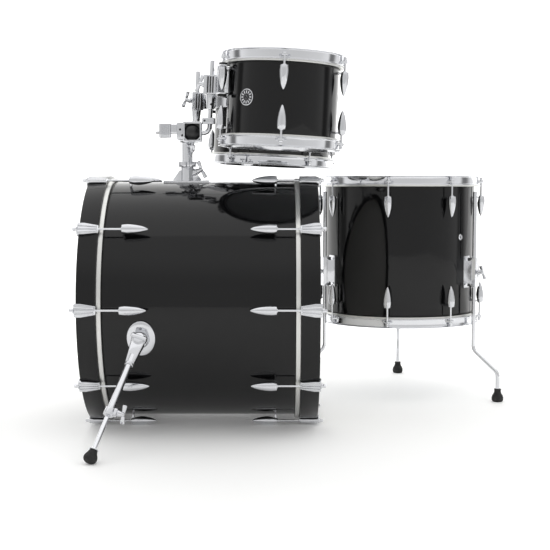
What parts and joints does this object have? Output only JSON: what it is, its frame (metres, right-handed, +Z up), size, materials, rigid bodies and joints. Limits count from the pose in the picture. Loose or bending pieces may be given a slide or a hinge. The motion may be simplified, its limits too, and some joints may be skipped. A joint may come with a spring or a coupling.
{
  "type": "acoustic drum kit",
  "caption": "Shell kit in gloss black with chrome hardware: bass drum on folding spurs, two toms on one centre holder and a floor tom on three legs.",
  "frame": {"origin": "centre of the whole kit's footprint on the floor", "axes": "+Z up; +X along the bass drum's axis from its front head towards the drummer; +Y across the kit towards the floor tom"},
  "size_m": [1.0464, 1.1974, 0.8717],
  "materials": {
    "badge": "stamped plate",
    "chrome": "polished chrome plate",
    "head_film": "coated polyester film",
    "hoop_lacquer": "maple hoop in gloss black lacquer",
    "lacquer": "gloss black lacquer on maple plies",
    "nylon": "moulded black nylon",
    "rubber": "moulded black rubber"
  },
  "bodies": {
    "kit_base": {"bass_shell": "lacquer", "bass_heads": "head_film", "bass_hoops": "hoop_lacquer", "bass_lugs": "chrome", "bass_claws": "chrome", "bass_rods": "chrome", "spur_brackets": "chrome", "holder_base": "chrome"},
    "holder_bolt": {"holder_wing": "chrome"},
    "holder_turn": {"holder_collar": "chrome"},
    "holder_lift": {"holder_post": "chrome", "holder_head": "chrome"},
    "near_spur": {"near_spur_leg": "chrome"},
    "near_spur_slide": {"near_spur_rod": "chrome", "near_spur_foot": "rubber"},
    "near_spur_screw": {"near_spur_wing": "chrome"},
    "far_spur": {"far_spur_leg": "chrome"},
    "far_spur_slide": {"far_spur_rod": "chrome", "far_spur_foot": "rubber"},
    "far_spur_screw": {"far_spur_wing": "chrome"},
    "small_swivel": {"small_ball": "nylon"},
    "small_roll": {"small_arm": "chrome"},
    "small_turn": {"small_lock": "chrome"},
    "small_drum": {"small_shell": "lacquer", "small_heads": "head_film", "small_hoops": "chrome", "small_lugs": "chrome", "small_rods": "chrome", "small_bracket": "chrome", "small_isolators": "rubber", "small_badge": "badge"},
    "small_ball_screw": {"small_ball_wing": "chrome"},
    "small_mount_screw": {"small_wing": "chrome"},
    "medium_swivel": {"medium_ball": "nylon"},
    "medium_roll": {"medium_arm": "chrome"},
    "medium_turn": {"medium_lock": "chrome"},
    "medium_drum": {"medium_shell": "lacquer", "medium_heads": "head_film", "medium_hoops": "chrome", "medium_lugs": "chrome", "medium_rods": "chrome", "medium_bracket": "chrome", "medium_isolators": "rubber"},
    "medium_ball_screw": {"medium_ball_wing": "chrome"},
    "medium_mount_screw": {"medium_wing": "chrome"},
    "floor_drum": {"floor_shell": "lacquer", "floor_heads": "head_film", "floor_hoops": "chrome", "floor_lugs": "chrome", "floor_rods": "chrome", "leg_brackets": "chrome"},
    "leg_1": {"floor_leg_1": "chrome", "floor_foot_1": "rubber"},
    "leg_screw_1": {"floor_wing_1": "chrome"},
    "leg_2": {"floor_leg_2": "chrome", "floor_foot_2": "rubber"},
    "leg_screw_2": {"floor_wing_2": "chrome"},
    "leg_3": {"floor_leg_3": "chrome", "floor_foot_3": "rubber"},
    "leg_screw_3": {"floor_wing_3": "chrome"}
  },
  "joints": [
    {"name": "near_spur_fold", "type": "hinge", "parent": "kit_base", "child": "near_spur", "pos_m": [-0.36968, -0.40204, 0.22539], "axis": [0, -0.7868, 0.6172], "range_deg": [0, 95]},
    {"name": "near_spur_extend", "type": "slide", "parent": "near_spur", "child": "near_spur_slide", "axis": [-0.2783, -0.5928, -0.7557], "range_m": [-0.05, 0.06]},
    {"name": "near_spur_screw_turn", "type": "hinge", "parent": "near_spur", "child": "near_spur_screw", "pos_m": [-0.40317, -0.51919, 0.09275], "axis": [0.9605, -0.1718, -0.219], "range_deg": [-60, 60]},
    {"name": "far_spur_fold", "type": "hinge", "parent": "kit_base", "child": "far_spur", "pos_m": [-0.36968, 0.19232, 0.22539], "axis": [0, -0.7868, -0.6172], "range_deg": [0, 95]},
    {"name": "far_spur_extend", "type": "slide", "parent": "far_spur", "child": "far_spur_slide", "axis": [-0.2783, 0.5928, -0.7557], "range_m": [-0.05, 0.06]},
    {"name": "far_spur_screw_turn", "type": "hinge", "parent": "far_spur", "child": "far_spur_screw", "pos_m": [-0.40317, 0.30947, 0.09275], "axis": [0.9605, 0.1718, -0.219], "range_deg": [-60, 60]},
    {"name": "holder_bolt_turn", "type": "hinge", "parent": "kit_base", "child": "holder_bolt", "pos_m": [-0.26403, -0.10486, 0.59806], "axis": [0.9063, 0, 0.4226], "range_deg": [-60, 60]},
    {"name": "holder_turn", "type": "hinge", "parent": "kit_base", "child": "holder_turn", "pos_m": [-0.28668, -0.10486, 0.6098], "axis": [0, 0, 1], "range_deg": [-10, 10]},
    {"name": "holder_lift", "type": "slide", "parent": "holder_turn", "child": "holder_lift", "axis": [0, 0, 1], "range_m": [0, 0.06]},
    {"name": "small_swivel", "type": "hinge", "parent": "holder_lift", "child": "small_swivel", "pos_m": [-0.27068, -0.14686, 0.69], "axis": [0, 1, 0], "range_deg": [-20, 3]},
    {"name": "small_roll", "type": "hinge", "parent": "small_swivel", "child": "small_roll", "pos_m": [-0.27068, -0.14686, 0.69], "axis": [0.9989, 0, -0.0471], "range_deg": [-8, 8]},
    {"name": "small_turn", "type": "hinge", "parent": "small_roll", "child": "small_turn", "pos_m": [-0.2271, -0.14686, 0.76503], "axis": [0.0471, 0, 0.9989], "range_deg": [-20, 6]},
    {"name": "small_lift", "type": "slide", "parent": "small_turn", "child": "small_drum", "axis": [0.0471, 0, 0.9989], "range_m": [0, 0.03]},
    {"name": "small_ball_screw_turn", "type": "hinge", "parent": "holder_lift", "child": "small_ball_screw", "pos_m": [-0.27068, -0.14686, 0.66], "axis": [0, 0, -1], "range_deg": [-60, 60]},
    {"name": "small_mount_screw_turn", "type": "hinge", "parent": "small_drum", "child": "small_mount_screw", "pos_m": [-0.24155, -0.14161, 0.80175], "axis": [-0.9102, 0.2998, 0.2857], "range_deg": [-60, 60]},
    {"name": "medium_swivel", "type": "hinge", "parent": "holder_lift", "child": "medium_swivel", "pos_m": [-0.28268, -0.05886, 0.69], "axis": [1, 0, 0], "range_deg": [-1, 12]},
    {"name": "medium_roll", "type": "hinge", "parent": "medium_swivel", "child": "medium_roll", "pos_m": [-0.28268, -0.05886, 0.69], "axis": [0, 1, 0], "range_deg": [-12, 1]},
    {"name": "medium_turn", "type": "hinge", "parent": "medium_roll", "child": "medium_turn", "pos_m": [-0.28, 0.12314, 0.74694], "axis": [0.0471, 0, 0.9989], "range_deg": [-6, 20]},
    {"name": "medium_lift", "type": "slide", "parent": "medium_turn", "child": "medium_drum", "axis": [0.0471, 0, 0.9989], "range_m": [0, 0.03]},
    {"name": "medium_ball_screw_turn", "type": "hinge", "parent": "holder_lift", "child": "medium_ball_screw", "pos_m": [-0.28268, -0.05886, 0.66], "axis": [0, 0, -1], "range_deg": [-60, 60]},
    {"name": "medium_mount_screw_turn", "type": "hinge", "parent": "medium_drum", "child": "medium_mount_screw", "pos_m": [-0.29454, 0.11817, 0.78366], "axis": [-0.9153, -0.2836, 0.286], "range_deg": [-60, 60]},
    {"name": "floor_tom_place", "type": "slide", "parent": "kit_base", "child": "floor_drum", "axis": [1, 0, 0], "range_m": [0, 0.15]},
    {"name": "leg_1_slide", "type": "slide", "parent": "floor_drum", "child": "leg_1", "axis": [0, 0, 1], "range_m": [-0.1, 0.06]},
    {"name": "leg_screw_1_turn", "type": "hinge", "parent": "floor_drum", "child": "leg_screw_1", "pos_m": [0.45964, 0.14395, 0.338], "axis": [0.809, -0.5878, 0], "range_deg": [-60, 60]},
    {"name": "leg_2_slide", "type": "slide", "parent": "floor_drum", "child": "leg_2", "axis": [0, 0, 1], "range_m": [-0.1, 0.06]},
    {"name": "leg_screw_2_turn", "type": "hinge", "parent": "floor_drum", "child": "leg_screw_2", "pos_m": [0.29042, 0.52402, 0.338], "axis": [0.1045, 0.9945, 0], "range_deg": [-60, 60]},
    {"name": "leg_3_slide", "type": "slide", "parent": "floor_drum", "child": "leg_3", "axis": [0, 0, 1], "range_m": [-0.1, 0.06]},
    {"name": "leg_screw_3_turn", "type": "hinge", "parent": "floor_drum", "child": "leg_screw_3", "pos_m": [0.04588, 0.18744, 0.338], "axis": [-0.9135, -0.4067, 0], "range_deg": [-60, 60]}
  ]
}
